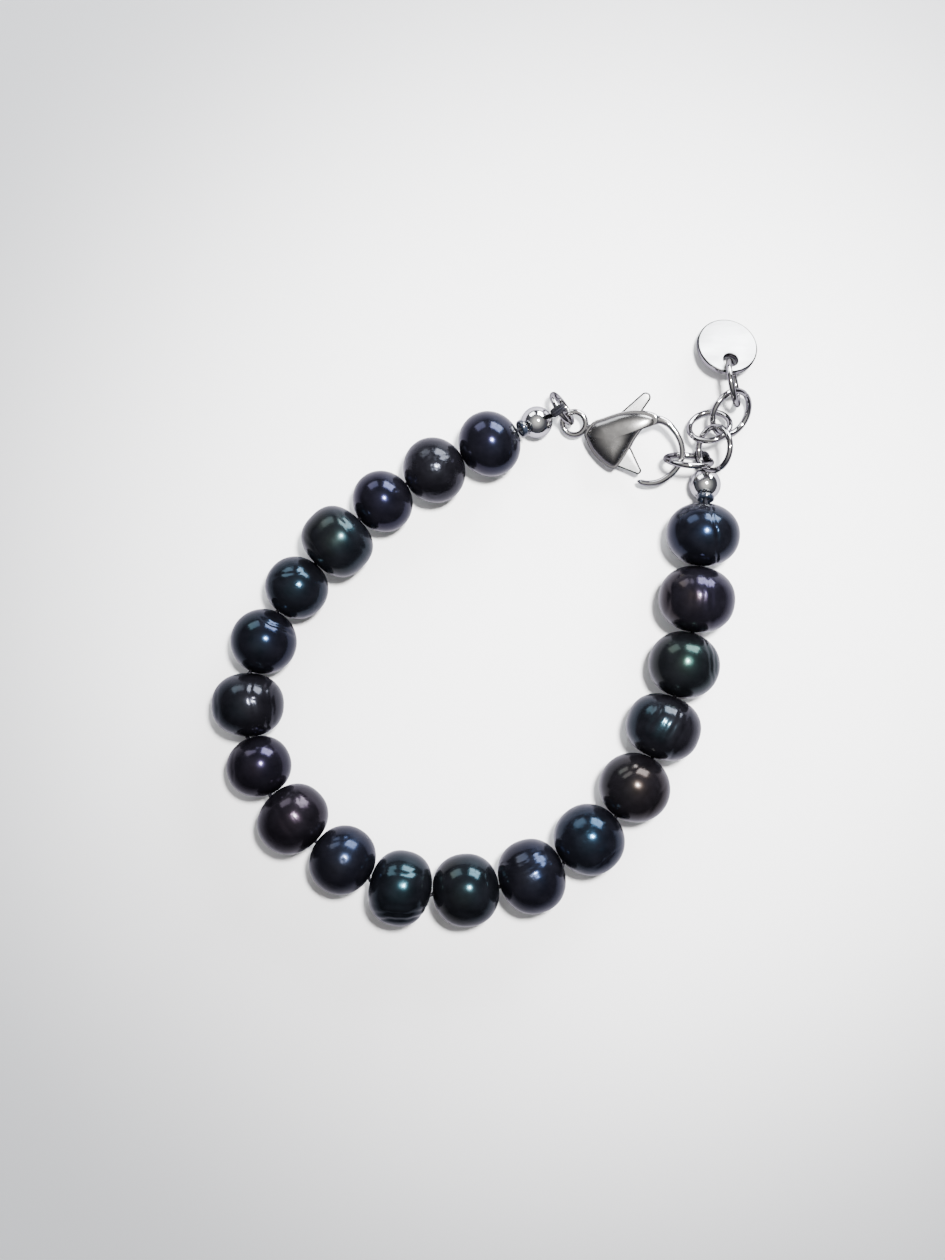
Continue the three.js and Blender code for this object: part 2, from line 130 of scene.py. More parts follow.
def catmull(points, per, closed=False):
    """A smooth line through points, with per steps between two of them."""
    points = [np.asarray(p, float) for p in points]
    count = len(points)
    spans = count if closed else count - 1
    line = []
    for i in range(spans):
        if closed:
            p0, p1, p2, p3 = (points[(i + k - 1) % count] for k in range(4))
        else:
            p1, p2 = points[i], points[i + 1]
            p0 = points[i - 1] if i else 2 * p1 - p2
            p3 = points[i + 2] if i + 2 < count else 2 * p2 - p1
        for k in range(per):
            t = k / per
            line.append(0.5 * (2 * p1 + (p2 - p0) * t + (2 * p0 - 5 * p1 + 4 * p2 - p3) * t * t
                               + (3 * p1 - p0 - 3 * p2 + p3) * t ** 3))
    if not closed:
        line.append(points[-1])
    return np.array(line)


# Directions that no line starts along, to set out a round section from
ANY_SIDE, COIL_SIDE = (0.31, 0.17, 0.93), (0.3, 0.2, 0.93)


def tube(line, radii, sides, closed=False, flat=1.0, up=None):
    """Points and faces of a tube along a line; with up given, its section keeps that direction."""
    line = np.asarray(line, float)
    count = len(line)
    along = directions(line, closed)
    points = []
    side = np.cross(along[0], ANY_SIDE if up is None else up)
    for i in range(count):
        if up is not None:
            side = np.cross(along[i], up)
        side = side - along[i] * np.dot(side, along[i])
        side /= np.linalg.norm(side)
        lift = np.cross(side, along[i])
        radius = radii[i] if np.ndim(radii) else radii
        for k in range(sides):
            turn = 2 * math.pi * k / sides
            points.append(line[i] + side * radius * math.cos(turn) + lift * radius * flat * math.sin(turn))
    faces = grid_faces(count, sides, closed)
    if not closed:
        faces.append(tuple(range(sides)))
        faces.append(tuple(range((count - 1) * sides, count * sides))[::-1])
    return points, faces


# materials

class Nodes:
    """Short calls for building a node tree."""

    def __init__(self, name):
        self.material = bpy.data.materials.new(name)
        self.material.use_nodes = True
        self.tree = self.material.node_tree
        self.shader = self.tree.nodes["Principled BSDF"]
        self.place = self.tree.nodes.new("ShaderNodeTexCoord").outputs["Object"]

    def link(self, value, socket):
        if hasattr(value, "is_linked"):
            self.tree.links.new(value, socket)
        else:
            socket.default_value = value
        return socket

    def mapped(self, scale=(1, 1, 1), turn=(0, 0, 0), move=(0, 0, 0)):
        node = self.tree.nodes.new("ShaderNodeMapping")
        self.link(self.place, node.inputs["Vector"])
        node.inputs["Scale"].default_value = scale
        node.inputs["Rotation"].default_value = turn
        node.inputs["Location"].default_value = move
        return node.outputs["Vector"]

    def noise(self, scale, detail=3.0, rough=0.5, vector=None, distort=0.0):
        node = self.tree.nodes.new("ShaderNodeTexNoise")
        self.link(vector if vector is not None else self.place, node.inputs["Vector"])
        node.inputs["Scale"].default_value = scale
        node.inputs["Detail"].default_value = detail
        node.inputs["Roughness"].default_value = rough
        node.inputs["Distortion"].default_value = distort
        return node.outputs["Fac"]

    def ramp(self, value, stops):
        node = self.tree.nodes.new("ShaderNodeValToRGB")
        self.link(value, node.inputs["Fac"])
        points = node.color_ramp.elements
        while len(points) < len(stops):
            points.new(0.5)
        for point, (at, colour) in zip(points, stops):
            point.position = at
            point.color = (*colour, 1)
        return node.outputs["Color"]

    def remap(self, value, low, high, to_low=0.0, to_high=1.0):
        node = self.tree.nodes.new("ShaderNodeMapRange")
        self.link(value, node.inputs["Value"])
        node.inputs["From Min"].default_value = low
        node.inputs["From Max"].default_value = high
        node.inputs["To Min"].default_value = to_low
        node.inputs["To Max"].default_value = to_high
        return node.outputs["Result"]

    def mix(self, share, a, b):
        node = self.tree.nodes.new("ShaderNodeMix")
        node.data_type = "RGBA"
        self.link(share, node.inputs["Factor"])
        self.link(a if hasattr(a, "is_linked") else (*a, 1), node.inputs["A"])
        self.link(b if hasattr(b, "is_linked") else (*b, 1), node.inputs["B"])
        return node.outputs["Result"]

    def math(self, operation, a, b=0.0):
        node = self.tree.nodes.new("ShaderNodeMath")
        node.operation = operation
        self.link(a, node.inputs[0])
        self.link(b, node.inputs[1])
        return node.outputs[0]

    def axis(self, direction, centre):
        """How far a point lies from centre along a direction, in metres."""
        less = self.tree.nodes.new("ShaderNodeVectorMath")
        less.operation = "SUBTRACT"
        self.link(self.place, less.inputs[0])
        less.inputs[1].default_value = centre
        dot = self.tree.nodes.new("ShaderNodeVectorMath")
        dot.operation = "DOT_PRODUCT"
        self.link(less.outputs[0], dot.inputs[0])
        dot.inputs[1].default_value = direction
        return dot.outputs["Value"]

    def bump(self, height, strength, distance, under=None):
        node = self.tree.nodes.new("ShaderNodeBump")
        node.inputs["Strength"].default_value = strength
        node.inputs["Distance"].default_value = distance
        self.link(height, node.inputs["Height"])
        if under is not None:
            self.link(under, node.inputs["Normal"])
        return node.outputs["Normal"]

    def set(self, **values):
        for name, value in values.items():
            self.link(value, self.shader.inputs[name.replace("_", " ")])
        return self.material


# Depths of the finest marks in steel, gloss, thread and nacre
HAIRLINE, GRAIN, FIBRE = 0.01 * MM, 0.02 * MM, 0.03 * MM


def steel(name, tone, rough, scratch=0.1, satin=0.0, edge=0.4, metallic=1.0, sheen=0.1):
    """Polished or satin steel with fine hairlines, faint smears and small tone changes."""
    n = Nodes(name)
    smear = n.noise(260, 4, 0.55)
    lines = n.noise(900, 2, 0.6, n.mapped((1, 14, 1), (0, 0, rad(35))))
    grain = n.noise(5200, 2, 0.5)
    sweep = n.noise(150, 3, 0.55, n.mapped((1, 4, 1), (0, 0, rad(-35))))
    dimmer = [c * (1 - sheen) for c in tone]
    colour = n.mix(n.remap(sweep if sheen > 0.1 else smear, 0.35, 0.65), tone, dimmer)
    roughness = n.math("ADD", n.remap(smear, 0.3, 0.75, rough * 0.8, rough * 1.25),
                       n.remap(grain, 0.3, 0.7, -satin * 0.25, satin * 0.25))
    normal = n.bump(lines, scratch, HAIRLINE)
    if satin:
        normal = n.bump(grain, satin, GRAIN, normal)
    return n.set(Base_Color=colour, Roughness=roughness, Metallic=metallic, Normal=normal,
                 Specular_Tint=(edge, edge, edge * 1.05, 1))


POLISHED = steel("polished_steel", (0.86, 0.86, 0.84), 0.08)
WIRE = steel("wire_steel", (0.42, 0.41, 0.41), 0.08, 0.18, edge=0.12)
FRAME = steel("clasp_steel", (0.48, 0.47, 0.47), 0.10, 0.15, edge=0.12)
SATIN = steel("satin_steel", (0.175, 0.171, 0.168), 0.25, 0.08, 0.06, edge=0.3)
FACE = steel("tag_steel", (0.46, 0.46, 0.46), 0.46, 0.05, 0.03, edge=0.25, sheen=0.3)
LEVER_STEEL = steel("lever_steel", (0.66, 0.66, 0.66), 0.30, 0.05, 0.03, metallic=0.4, sheen=0.2)
# Near-black steel painted on softened edges: painted shade for their dark outline
PAINTED_EDGE_SHADE = steel("painted_edge_shade_steel", (0.035, 0.035, 0.036), 0.32, 0.1, edge=0.15)


def gloss_black():
    n = Nodes("black_gloss")
    cloud = n.noise(900, 3)
    colour = n.ramp(cloud, [(0.3, (0.004, 0.005, 0.008)), (0.7, (0.012, 0.016, 0.026))])
    return n.set(Base_Color=colour, Roughness=n.remap(cloud, 0.3, 0.7, 0.06, 0.13),
                 Coat_Weight=1.0, Coat_Roughness=0.04, Normal=n.bump(cloud, 0.1, GRAIN))


def thread_black():
    n = Nodes("black_thread")
    cloud = n.noise(2600, 3, 0.6)
    colour = n.ramp(cloud, [(0.3, (0.002, 0.002, 0.003)), (0.7, (0.010, 0.010, 0.015))])
    return n.set(Base_Color=colour, Roughness=n.remap(cloud, 0.3, 0.7, 0.45, 0.6),
                 Specular_IOR_Level=0.15, Normal=n.bump(cloud, 0.35, FIBRE))


BLACK = gloss_black()
THREAD = thread_black()

# Each pearl from the clasp end: the tints its nacre shows towards the left and the right, how rough
# and how patchy its skin is, growth lines and small pits. Places are shares of the radius from the
# pearl's middle as seen from above, x to the right and y up.
# Growth line: distance from the middle, direction in degrees, width, depth, from, to.
# Pit: x, y, radius, depth.
BLUE, VIOLET, CYAN, TEAL = (0.34, 0.52, 1.0), (0.55, 0.50, 0.95), (0.36, 0.70, 1.0), (0.32, 0.72, 0.88)
GREEN, BRONZE, PLUM = (0.54, 0.66, 0.50), (0.74, 0.58, 0.52), (0.66, 0.52, 0.70)
GREY = (0.60, 0.64, 0.78)
PEARLS = [
    dict(left=VIOLET, right=BLUE, rough=0.10, patch=0.1,
         lines=[(-0.55, 78, 0.05, 0.004, -0.2, 0.6)], pits=[]),
    dict(left=GREY, right=GREY, rough=0.13, patch=0.9, lines=[(0.22, 20, 0.05, 0.012, -0.5, 0.6)],
         pits=[(-0.1, 0.28, 0.07, 0.012), (0.1, 0.24, 0.05, 0.01)]),
    dict(left=VIOLET, right=(0.42, 0.48, 1.0), rough=0.10, patch=0.15, lines=[],
         pits=[(0.45, 0.28, 0.05, 0.01)]),
    dict(left=GREEN, right=TEAL, rough=0.16, patch=0.2,
         lines=[(0.50, -55, 0.07, 0.016, -0.6, 0.75), (-0.62, -55, 0.06, 0.01, -0.6, 0.6)], pits=[]),
    dict(left=TEAL, right=CYAN, rough=0.11, patch=0.7, lines=[(0.45, 12, 0.05, 0.012, -0.6, 0.5)],
         pits=[(-0.62, -0.42, 0.07, 0.012)]),
    dict(left=TEAL, right=BLUE, rough=0.10, patch=0.15,
         lines=[(0.62, -28, 0.05, 0.02, -0.35, 0.75)], pits=[]),
    dict(left=TEAL, right=GREY, rough=0.12, patch=0.45,
         lines=[(-0.24, 96, 0.05, 0.014, -0.75, 0.8), (-0.60, 92, 0.06, 0.016, -0.75, 0.75),
                (-0.76, 90, 0.04, 0.012, -0.6, 0.6), (0.78, 90, 0.05, 0.01, -0.5, 0.5)],
         pits=[(0.28, 0.2, 0.04, 0.01)]),
    dict(left=PLUM, right=VIOLET, rough=0.11, patch=0.1,
         lines=[(0.72, 88, 0.04, 0.008, -0.5, 0.5)], pits=[]),
    dict(left=PLUM, right=PLUM, rough=0.13, patch=0.55,
         lines=[(0.12, 122, 0.07, 0.012, -0.7, 0.6), (-0.52, 118, 0.05, 0.01, -0.6, 0.6)], pits=[]),
    dict(left=GREY, right=BLUE, rough=0.17, patch=0.3, lines=[(0.66, 15, 0.05, 0.01, -0.5, 0.6)],
         pits=[(0.07, 0.1, 0.06, 0.009)]),
    dict(left=TEAL, right=TEAL, rough=0.12, patch=0.25,
         lines=[(-0.56, 2, 0.05, 0.02, -0.7, 0.75), (-0.74, 3, 0.05, 0.026, -0.6, 0.6),
                (0.52, -4, 0.05, 0.012, -0.6, 0.6), (-0.34, 0, 0.05, 0.008, -0.7, 0.7)],
         pits=[(-0.42, -0.2, 0.06, 0.014)]),
    dict(left=GREEN, right=TEAL, rough=0.10, patch=0.1, lines=[(-0.5, -3, 0.06, 0.006, -0.5, 0.7)],
         pits=[(-0.02, -0.5, 0.03, 0.008)]),
    dict(left=GREY, right=BLUE, rough=0.12, patch=0.35,
         lines=[(0.30, 24, 0.05, 0.012, -0.8, 0.5), (0.42, 24, 0.04, 0.012, -0.75, 0.5),
                (0.54, 24, 0.04, 0.012, -0.7, 0.5), (0.66, 24, 0.04, 0.012, -0.6, 0.45),
                (0.06, 24, 0.05, 0.006, -0.7, 0.4)], pits=[]),
    dict(left=CYAN, right=(0.22, 0.55, 1.0), rough=0.11, patch=0.6,
         lines=[(-0.62, 38, 0.04, 0.01, -0.4, 0.5)],
         pits=[(0.42, -0.5, 0.07, 0.02), (0.22, -0.12, 0.05, 0.012)]),
    dict(left=(0.56, 0.62, 0.56), right=BRONZE, rough=0.14, patch=0.15,
         lines=[(0.52, 38, 0.06, 0.014, -0.7, 0.6), (-0.6, 58, 0.05, 0.008, -0.5, 0.5)], pits=[]),
    dict(left=TEAL, right=GREY, rough=0.12, patch=0.4,
         lines=[(-0.42, 66, 0.05, 0.02, -0.7, 0.7), (-0.14, 64, 0.05, 0.014, -0.6, 0.75),
                (0.10, 64, 0.05, 0.014, -0.5, 0.75), (0.40, 64, 0.05, 0.012, -0.4, 0.6),
                (0.6, 64, 0.05, 0.012, -0.4, 0.5)],
         pits=[(0.5, 0.52, 0.1, 0.02), (-0.45, -0.3, 0.05, 0.012)]),
    dict(left=GREEN, right=(0.40, 0.86, 0.78), rough=0.15, patch=0.2,
         lines=[(-0.66, 100, 0.05, 0.016, -0.6, 0.7), (-0.80, 98, 0.04, 0.014, -0.5, 0.5)], pits=[]),
    dict(left=BRONZE, right=VIOLET, rough=0.13, patch=0.25,
         lines=[(-0.06, 90, 0.04, 0.010, -0.7, 0.6), (-0.26, 92, 0.05, 0.012, -0.8, 0.8),
                (0.24, 90, 0.05, 0.008, -0.6, 0.6), (0.80, 90, 0.05, 0.01, -0.5, 0.5)], pits=[]),
    dict(left=BLUE, right=(0.34, 0.62, 1.0), rough=0.11, patch=0.2,
         lines=[(-0.24, 97, 0.03, 0.03, -0.75, 0.62), (0.62, 84, 0.05, 0.008, -0.4, 0.5)],
         pits=[(-0.6, 0.6, 0.06, 0.012)]),
]


BODY_TONE = (0.0014, 0.0013, 0.0018)
BODY_TINT = 0.0005
TINT_DEPTH = 1.25


def nacre(name, centre, radius, axis, look, seed):
    """Dark nacre: a near-black body under a thin shining layer whose tint drifts over the surface."""
    n = Nodes(name)
    drift = n.noise(190, 3, 0.55, n.mapped(move=(seed * 0.37, seed * 0.61, seed * 0.23)), 0.6)
    across = n.remap(n.axis((1, 0.15, 0), centre), -0.42 * radius, 0.34 * radius)
    share = n.math("ADD", across, n.remap(drift, 0.35, 0.65, -0.3, 0.3))
    share = n.math("MINIMUM", n.math("MAXIMUM", share, 0.0), 1.0)
    tint = n.mix(share, *([c ** TINT_DEPTH for c in look[side]] for side in ("left", "right")))
    low = n.noise(520, 4, 0.6, n.mapped(move=(seed * 0.11, 0, seed * 0.07)))
    dark = [c * BODY_TINT + tone for c, tone in zip(look["right"], BODY_TONE)]
    body = n.mix(n.remap(low, 0.35, 0.65), dark, [c * 2.0 for c in dark])
    gloss = n.noise(1.0, 3, 0.6, n.mapped((240, 240, 240)))
    # Fine growth lines run round the pearl with the string, deeper where its skin is patchy
    level = basis(axis)[0]
    bands = n.tree.nodes.new("ShaderNodeTexWave")
    bands.wave_type = "BANDS"
    bands.bands_direction = "X"
    turn = (0, 0, -math.atan2(level[1], level[0]))
    n.link(n.mapped((1, 1, 1), turn), bands.inputs["Vector"])
    bands.inputs["Scale"].default_value = 260
    bands.inputs["Distortion"].default_value = 5.5
    bands.inputs["Detail"].default_value = 3
    bands.inputs["Detail Scale"].default_value = 1.5
    patches = n.remap(n.noise(330, 3, 0.6, n.mapped(move=(seed * 0.9, seed * 0.4, 0))), 0.5, 0.68)
    fine = n.bump(bands.outputs["Fac"], 0.10 + 0.12 * look["patch"], GRAIN)
    cells = n.bump(n.noise(1500, 4, 0.65), 0.10, GRAIN, fine)
    marks = n.math("MULTIPLY", patches, n.noise(1150, 4, 0.7))
    skin = n.bump(marks, 0.25 + 0.75 * look["patch"], 0.1 * MM * look["patch"] + HAIRLINE, cells)
    dull = n.math("ADD", n.math("MULTIPLY", patches, look["patch"]), n.math("MULTIPLY", gloss, 0.3))
    rough = n.remap(dull, 0.0, 1.1, look["rough"] + 0.055, look["rough"] + 0.18)
    return n.set(Base_Color=body, Specular_Tint=tint, Roughness=rough, IOR=1.33,
                 Coat_Weight=0.15, Coat_Roughness=0.04, Coat_IOR=1.3, Normal=skin)


# pearls and end beads

def bead_axis(node, towards):
    """A drilled bead's middle and axis, from the rings of points at its two mouths."""
    points = vertices(node)
    middle = (points.min(0) + points.max(0)) / 2
    for _ in range(3):
        along = (points - middle) @ towards
        last = points[np.argsort(along)[-16:]].mean(0)
        first = points[np.argsort(along)[:16]].mean(0)
        middle = (last + first) / 2
        towards = (last - first) / np.linalg.norm(last - first)
    return points, middle, towards, np.linalg.norm(last - first) / 2


def bead_outline(points, middle, axis, half, bore):
    """Length, width and squareness of the outline that fits the bead's corners."""
    offset = points - middle
    along = np.abs(offset @ axis)
    out = np.linalg.norm(offset - np.outer(offset @ axis, axis), axis=1)
    wide = out.max()
    best = None
    for square in np.arange(1.8, 2.8, 0.05):
        long = half / (1 - (bore / wide) ** square) ** (1 / square)
        error = np.abs((along / long) ** square + (out / wide) ** square - 1)[out > bore * 1.2].mean()
        if best is None or error < best[0]:
            best = (error, long, wide, square)
    return best[1:]


def soft_noise(direction, seed):
    """Low, smooth swelling of a pearl's surface, from -1 to 1."""
    total = 0
    for k in range(5):
        a = math.sin(seed * 12.9 + k * 4.1), math.sin(seed * 7.3 + k * 2.7), math.cos(seed * 3.1 + k * 5.3)
        total = total + np.sin(direction @ np.array(a) * (1.6 + 0.5 * k) + seed * 1.7 + k)
    return total / 5


# A pearl's skin stands this far out of its solid, and reaches this share into the gap at each end
WIDER = 0.035 * MM
CLOSING = 0.42
SWELL = 0.004  # how uneven its skin is, as a share of its radius


def pearl_shape(node, previous, following):
    """A pearl's middle, axis, half length, bore radius and outline."""
    towards = np.array(sum(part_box(following), Vector()) - sum(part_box(previous), Vector()))
    towards[2] = 0
    points, middle, axis, half = bead_axis(node, towards / np.linalg.norm(towards))
    bore = np.linalg.norm(points - middle - np.outer((points - middle) @ axis, axis), axis=1).min()
    return middle, axis, half, bore, *bead_outline(points, middle, axis, half, bore)


def facing(shape, side):
    """Points of the end of a pearl that faces its neighbour."""
    middle, axis, _, bore, long, wide, square = shape
    power = 2 / square
    turns = np.linspace(math.asin((bore / wide) ** (1 / power)), rad(65), 34)
    round_ = circle(axis, 48)
    rows = [axis * side * math.cos(t) ** power * long + round_ * math.sin(t) ** power * wide for t in turns]
    return middle + np.concatenate(rows)


def gap_between(before, after):
    """The smallest distance between two neighbouring pearls."""
    a, b = facing(before, 1), facing(after, -1)
    squares = (a ** 2).sum(1)[:, None] + (b ** 2).sum(1)[None] - 2 * a @ b.T
    return math.sqrt(max(squares.min(), 0))


def pearl(index, node, shape, closing):
    """A pearl with its growth lines and pits, reaching out by closing at its two ends."""
    middle, axis, half, bore, long, wide, square = shape
    look = PEARLS[index]
    long, wide = long + sum(closing) / 2, wide + WIDER
    middle = middle + axis * (closing[1] - closing[0]) / 2
    rows, columns = (112, 128) if look["lines"] or look["pits"] else (72, 80)
    hole = bore * 0.75
    power = 2 / square
    start = math.asin((hole / wide) ** (1 / power))
    round_ = circle(axis, columns)
    rows_out = []
    for turn in np.linspace(start, math.pi - start, rows):
        along = -signed_power(math.cos(turn), power) * long
        rows_out.append(middle + axis * along + round_ * (math.sin(turn) ** power * wide))
    surface = np.concatenate(rows_out)
    offset = surface - middle
    direction = offset / np.linalg.norm(offset, axis=1)[:, None]
    flat = offset / wide
    sink = SWELL * (1 + soft_noise(direction, index + 1.3))
    for distance, degrees, width, depth, low, high in look["lines"]:
        run = np.array([math.cos(rad(degrees)), math.sin(rad(degrees)), 0])
        side = np.array([-run[1], run[0], 0])
        at = flat @ run
        wobble = 0.02 * np.sin(at * 7 + index) + 0.008 * np.sin(at * 19 + 2 * index)
        gap = (flat @ side - distance - wobble) / width
        fade = 1 / (1 + np.exp(-(at - low) * 14)) / (1 + np.exp((at - high) * 14))
        above = 1 / (1 + np.exp(-(flat[:, 2] + 0.1) * 12))
        sink = sink + depth * np.exp(-gap ** 2) * fade * above
    for x, y, size, depth in look["pits"]:
        gap2 = ((flat[:, 0] - x) ** 2 + (flat[:, 1] - y) ** 2) / size ** 2
        sink = sink + depth * np.exp(-gap2) * (flat[:, 2] > 0)
    surface = surface - direction * (sink * wide)[:, None]
    # The bore's wall closes the skin
    inner = [shape[0] + axis * s * half * 0.96 + round_ * hole * 0.9 for s in (1, -1)]
    everything = np.concatenate([surface, *inner])
    faces = grid_faces(rows + 2, columns)
    material = nacre(f"nacre_{index + 1:02d}", tuple(middle), wide, axis, look, index + 1)
    object_from(f"pearl_look_{index + 1:02d}", everything, faces, material, [node])


order = ["silver_bead_clasp"] + [f"pearl_{i:02d}" for i in range(1, 20)] + ["silver_bead_chain"]
laid = [pearl_shape(order[i + 1], order[i], order[i + 2]) for i in range(19)]
reach = [0, *(CLOSING * gap_between(a, b) for a, b in zip(laid, laid[1:])), 0]
for i, shape in enumerate(laid):
    pearl(i, order[i + 1], shape, reach[i:i + 2])


SILVER_HOLE = 0.55 * MM
BEAD_ROUND = 0.8  # how round a spacer's section is, from 0 for square to 1


def small_bead(node, towards, name):
    """A smooth silver bead over the CAD bead."""
    points, middle, axis, _ = bead_axis(node, towards)
    wide = np.linalg.norm(points - middle, axis=1).max()
    rows, columns = 40, 64
    round_ = circle(axis, columns)
    start = math.asin(SILVER_HOLE / wide)
    out = [middle - axis * wide * math.cos(t) + round_ * wide * math.sin(t)
           for t in np.linspace(start, math.pi - start, rows)]
    mouth = wide * math.cos(start)
    out += [middle + axis * mouth * s + round_ * SILVER_HOLE * 0.8 for s in (0.94, 0.3, -0.3, -0.94)]
    object_from(name, np.concatenate(out), grid_faces(len(out), columns), POLISHED, [node])
    return middle, axis


def spacer(node, towards, name):
    """A black spacer with a rounded section over the CAD bead."""
    points = vertices(node)
    middle = points.mean(0)
    offset = points - middle
    axis = np.linalg.svd(offset, full_matrices=False)[2][2]
    axis = axis * np.sign(axis @ towards)
    out = np.linalg.norm(offset - np.outer(offset @ axis, axis), axis=1)
    thick = np.abs(offset @ axis).max()
    rows, columns = 28, 64
    round_ = circle(axis, columns)
    centre, half = (out.max() + out.min() * 0.8) / 2, (out.max() - out.min() * 0.8) / 2
    shell = [middle + round_ * (centre + half * signed_power(math.cos(t), BEAD_ROUND))
             + axis * thick * signed_power(math.sin(t), BEAD_ROUND)
             for t in np.linspace(0, 2 * math.pi, rows, endpoint=False)]
    object_from(name, np.concatenate(shell), grid_faces(rows, columns), BLACK, [node])


def outward(end):
    """Direction from an end's spacer to its silver bead."""
    silver, black = (sum(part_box(f"{kind}_bead_{end}"), Vector()) / 2 for kind in ("silver", "spacer"))
    return np.array((silver - black).normalized())


ENDS = ("clasp", "chain")
silver_beads = [small_bead(f"silver_bead_{end}", outward(end), f"silver_bead_look_{end}") for end in ENDS]
for end in ENDS:
    spacer(f"spacer_bead_{end}", outward(end), f"spacer_look_{end}")


# rings

# How each ring lies: heading about Z and lift of its plane, and where its wire's ends meet
RINGS = {
    "clasp_ring": (-58, 108.5, 0), "chain_ring_1": (-4, 108, 0), "chain_ring_2": (88, 128, 155),
    "chain_ring_3": (18, 138, 160), "chain_ring_4": (52, 44, 0), "chain_ring_5": (-80, 104, 0),
}
WIRE_RADIUS = 0.375 * MM
SEAM = 0.12 * MM
RING_STEPS = 120


def ring_place(node):
    """A ring's middle, two directions across it and its radius, from its CAD node."""
    heading, tilt, _ = RINGS[node]
    turn = Matrix.Rotation(rad(heading), 3, "Z") @ Matrix.Rotation(rad(tilt), 3, "X")
    points = vertices(node)
    normal = np.array(turn.col[2])
    across = [np.array(turn.col[0]), np.array(turn.col[1])]
    middle = sum(a * ((points @ a).max() + (points @ a).min()) / 2 for a in across + [normal])
    radius = (np.ptp(points @ across[1]) / 2) - WIRE_RADIUS
    return middle, across[0], across[1], radius


def ring_point(node, degrees):
    """A point in the middle of a ring's wire, and the wire's direction there."""
    middle, e1, e2, radius = ring_place(node)
    point = middle + radius * (math.cos(rad(degrees)) * e1 + math.sin(rad(degrees)) * e2)
    return point, -math.sin(rad(degrees)) * e1 + math.cos(rad(degrees)) * e2


def ring(node, name):
    """A jump ring of round wire, with a fine seam where its ends meet."""
    middle, e1, e2, radius = ring_place(node)
    open_ = SEAM / radius / 2
    turns = np.linspace(open_, 2 * math.pi - open_, RING_STEPS) + rad(RINGS[node][2])
    line = [middle + radius * (math.cos(t) * e1 + math.sin(t) * e2) for t in turns]
    # The cut ends are slightly rounded and pinched
    radii = np.full(RING_STEPS, WIRE_RADIUS)
    radii[[0, -1]] *= 0.86
    radii[[1, -2]] *= 0.985
    points, faces = tube(line, radii, 24)
    object_from(name, points, faces, WIRE, [node])


for node in RINGS:
    ring(node, node + "_look")


# thread

THREAD_RADIUS = 0.16 * MM
INNER_THREAD = 0.24 * MM            # between the pearls
FIBRE_RADIUS, PITCH = 0.085 * MM, 0.19 * MM
LOOP_REACH = WIRE_RADIUS + THREAD_RADIUS + 0.22 * MM
LOOP_NECK, LOOP_LEAD = 0.3 * MM, 0.4 * MM
BUNDLE = (-8, 0, 8)                 # where a loop's strands lie along their ring, in degrees
MOUTH, STEM = 2.0 * MM, 3.6 * MM    # from the silver bead's middle, and from there back into the beads


def loop_line(silver, away, wire_point, wire_along):
    """Where the thread leaves a silver bead, where its loop parts, and the loop round the wire."""
    middle, axis = silver
    mouth = middle + axis * MOUTH
    parting = mouth + away * LOOP_LEAD
    out = wire_point - parting
    out /= np.linalg.norm(out)
    side = np.cross(wire_along, out)
    side /= np.linalg.norm(side)
    neck = parting * 0.6 + wire_point * 0.4 + away * LOOP_NECK
    points = [parting, neck + side * LOOP_NECK, wire_point + side * LOOP_REACH, wire_point + out * LOOP_REACH,
              wire_point - side * LOOP_REACH, neck - side * LOOP_NECK]
    return mouth, parting, catmull(points, 14, True)


def coil(line, core, closed):
    """A fibre wound tightly round a line, core away from it."""
    if closed:
        line = np.concatenate([line, line[:1]])
    at = np.concatenate([[0], np.cumsum(np.linalg.norm(np.diff(line, axis=0), axis=1))])
    turns = max(int(at[-1] / PITCH), 4)
    count = turns * 9
    where = np.linspace(0, at[-1], count, endpoint=not closed)
    path = np.stack([np.interp(where, at, line[:, k]) for k in range(3)], 1)
    along = directions(path, closed)
    side = np.cross(along[0], COIL_SIDE)
    wound = []
    for i in range(count):
        side = side - along[i] * (side @ along[i])
        side /= np.linalg.norm(side)
        lift = np.cross(along[i], side)
        phase = 2 * math.pi * turns * i / count
        wound.append(path[i] + core * (math.cos(phase) * side + math.sin(phase) * lift))
    return tube(wound, FIBRE_RADIUS, 6, closed)


def join(parts):
    """The points and faces of several parts as one."""
    points, faces = [], []
    for more, its in parts:
        faces += [tuple(len(points) + i for i in face) for face in its]
        points += list(more)
    return points, faces


def thread():
    """The thread through all the beads, and a bundle of wound loops round the ring at each end."""
    parts, mouths = [], []
    ends = [(silver_beads[0], -laid[0][1], "clasp_ring", 88),
            (silver_beads[1], laid[-1][1], "chain_ring_1", -49)]
    for silver, away, ring_node, degrees in ends:
        away = np.array([away[0], away[1], 0]) / math.hypot(away[0], away[1])
        for step in BUNDLE:
            mouth, parting, line = loop_line(silver, away, *ring_point(ring_node, degrees + step))
            parts += [tube(line, THREAD_RADIUS * 0.8, 8, True), coil(line, THREAD_RADIUS * 0.95, True)]
        axis = silver[1]
        stem = catmull([mouth - axis * STEM, mouth - axis * LOOP_LEAD, mouth, parting], 10)
        parts += [tube(stem, THREAD_RADIUS, 8), coil(stem[10:], THREAD_RADIUS, False)]
        mouths.append(mouth)
    inner = [middle + axis * half * share for middle, axis, half, *_ in laid for share in (-1, -0.5, 0.5, 1)]
    parts.append(tube([mouths[0], *inner, mouths[1]], INNER_THREAD, 10))
    points, faces = join(parts)
    object_from("thread_look", points, faces, THREAD, ["thread"])


thread()


# clasp: in mm, with the eye's middle as origin, x towards the hook and z up out of the dome

